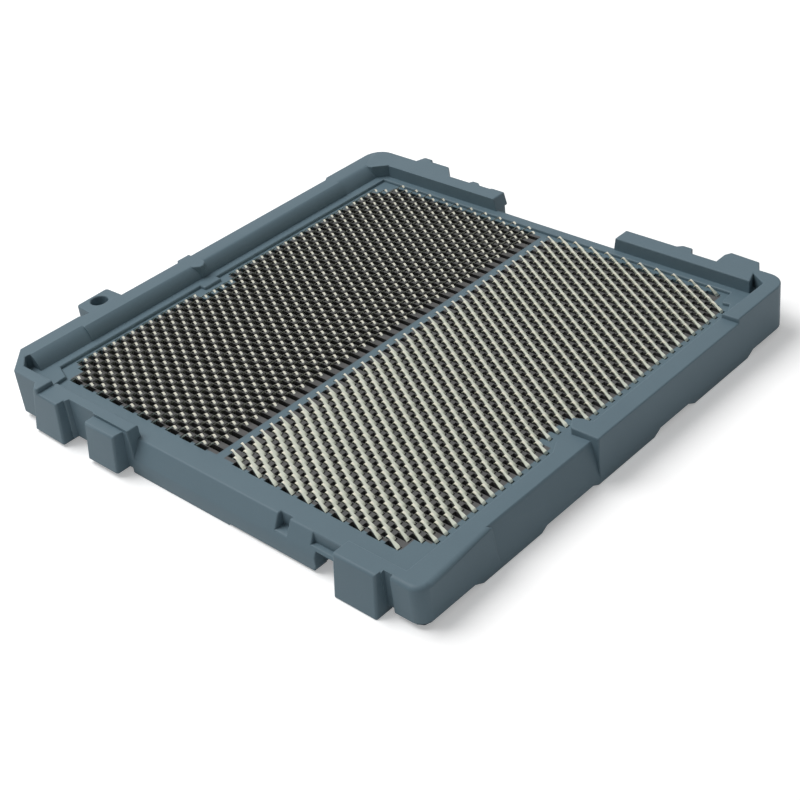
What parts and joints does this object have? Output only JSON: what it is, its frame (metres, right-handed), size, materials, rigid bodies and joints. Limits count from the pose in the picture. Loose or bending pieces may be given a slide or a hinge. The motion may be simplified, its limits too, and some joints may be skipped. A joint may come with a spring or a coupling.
{
  "type": "cpu socket",
  "caption": "Land-grid processor socket: square moulded frame with a key, raised corner walls and a latch ear around two fields of sprung contacts parted by a rib.",
  "frame": {"origin": "centre of the package cavity on the plane of the moulded feet", "axes": "+X to the right along the front wall, +Y towards the back wall with the latch ear, +Z away from the circuit board"},
  "size_m": [0.0449, 0.0455, 0.0043],
  "materials": {
    "housing_plastic": "satin, finely textured slate blue-grey moulding",
    "contact_metal": "bright pale champagne plating"
  },
  "bodies": {
    "root": {"socket_housing": "housing_plastic", "contact_row_01": "contact_metal", "contact_row_02": "contact_metal", "contact_row_03": "contact_metal", "contact_row_04": "contact_metal", "contact_row_05": "contact_metal", "contact_row_06": "contact_metal", "contact_row_07": "contact_metal", "contact_row_08": "contact_metal", "contact_row_09": "contact_metal", "contact_row_10": "contact_metal", "contact_row_11": "contact_metal", "contact_row_12": "contact_metal", "contact_row_13": "contact_metal", "contact_row_14": "contact_metal", "contact_row_15": "contact_metal", "contact_row_16": "contact_metal", "contact_row_17": "contact_metal", "contact_row_18": "contact_metal", "contact_row_19": "contact_metal", "contact_row_20": "contact_metal", "contact_row_21": "contact_metal", "contact_row_22": "contact_metal", "contact_row_23": "contact_metal", "contact_row_24": "contact_metal", "contact_row_25": "contact_metal", "contact_row_26": "contact_metal", "contact_row_27": "contact_metal", "contact_row_28": "contact_metal", "contact_row_29": "contact_metal", "contact_row_30": "contact_metal", "contact_row_31": "contact_metal", "contact_row_32": "contact_metal", "contact_row_33": "contact_metal", "contact_row_34": "contact_metal", "contact_row_35": "contact_metal", "contact_row_36": "contact_metal", "contact_row_37": "contact_metal", "contact_row_38": "contact_metal", "contact_row_39": "contact_metal", "contact_row_40": "contact_metal", "contact_row_41": "contact_metal", "contact_row_42": "contact_metal", "contact_row_43": "contact_metal", "contact_row_44": "contact_metal"}
  },
  "joints": []
}
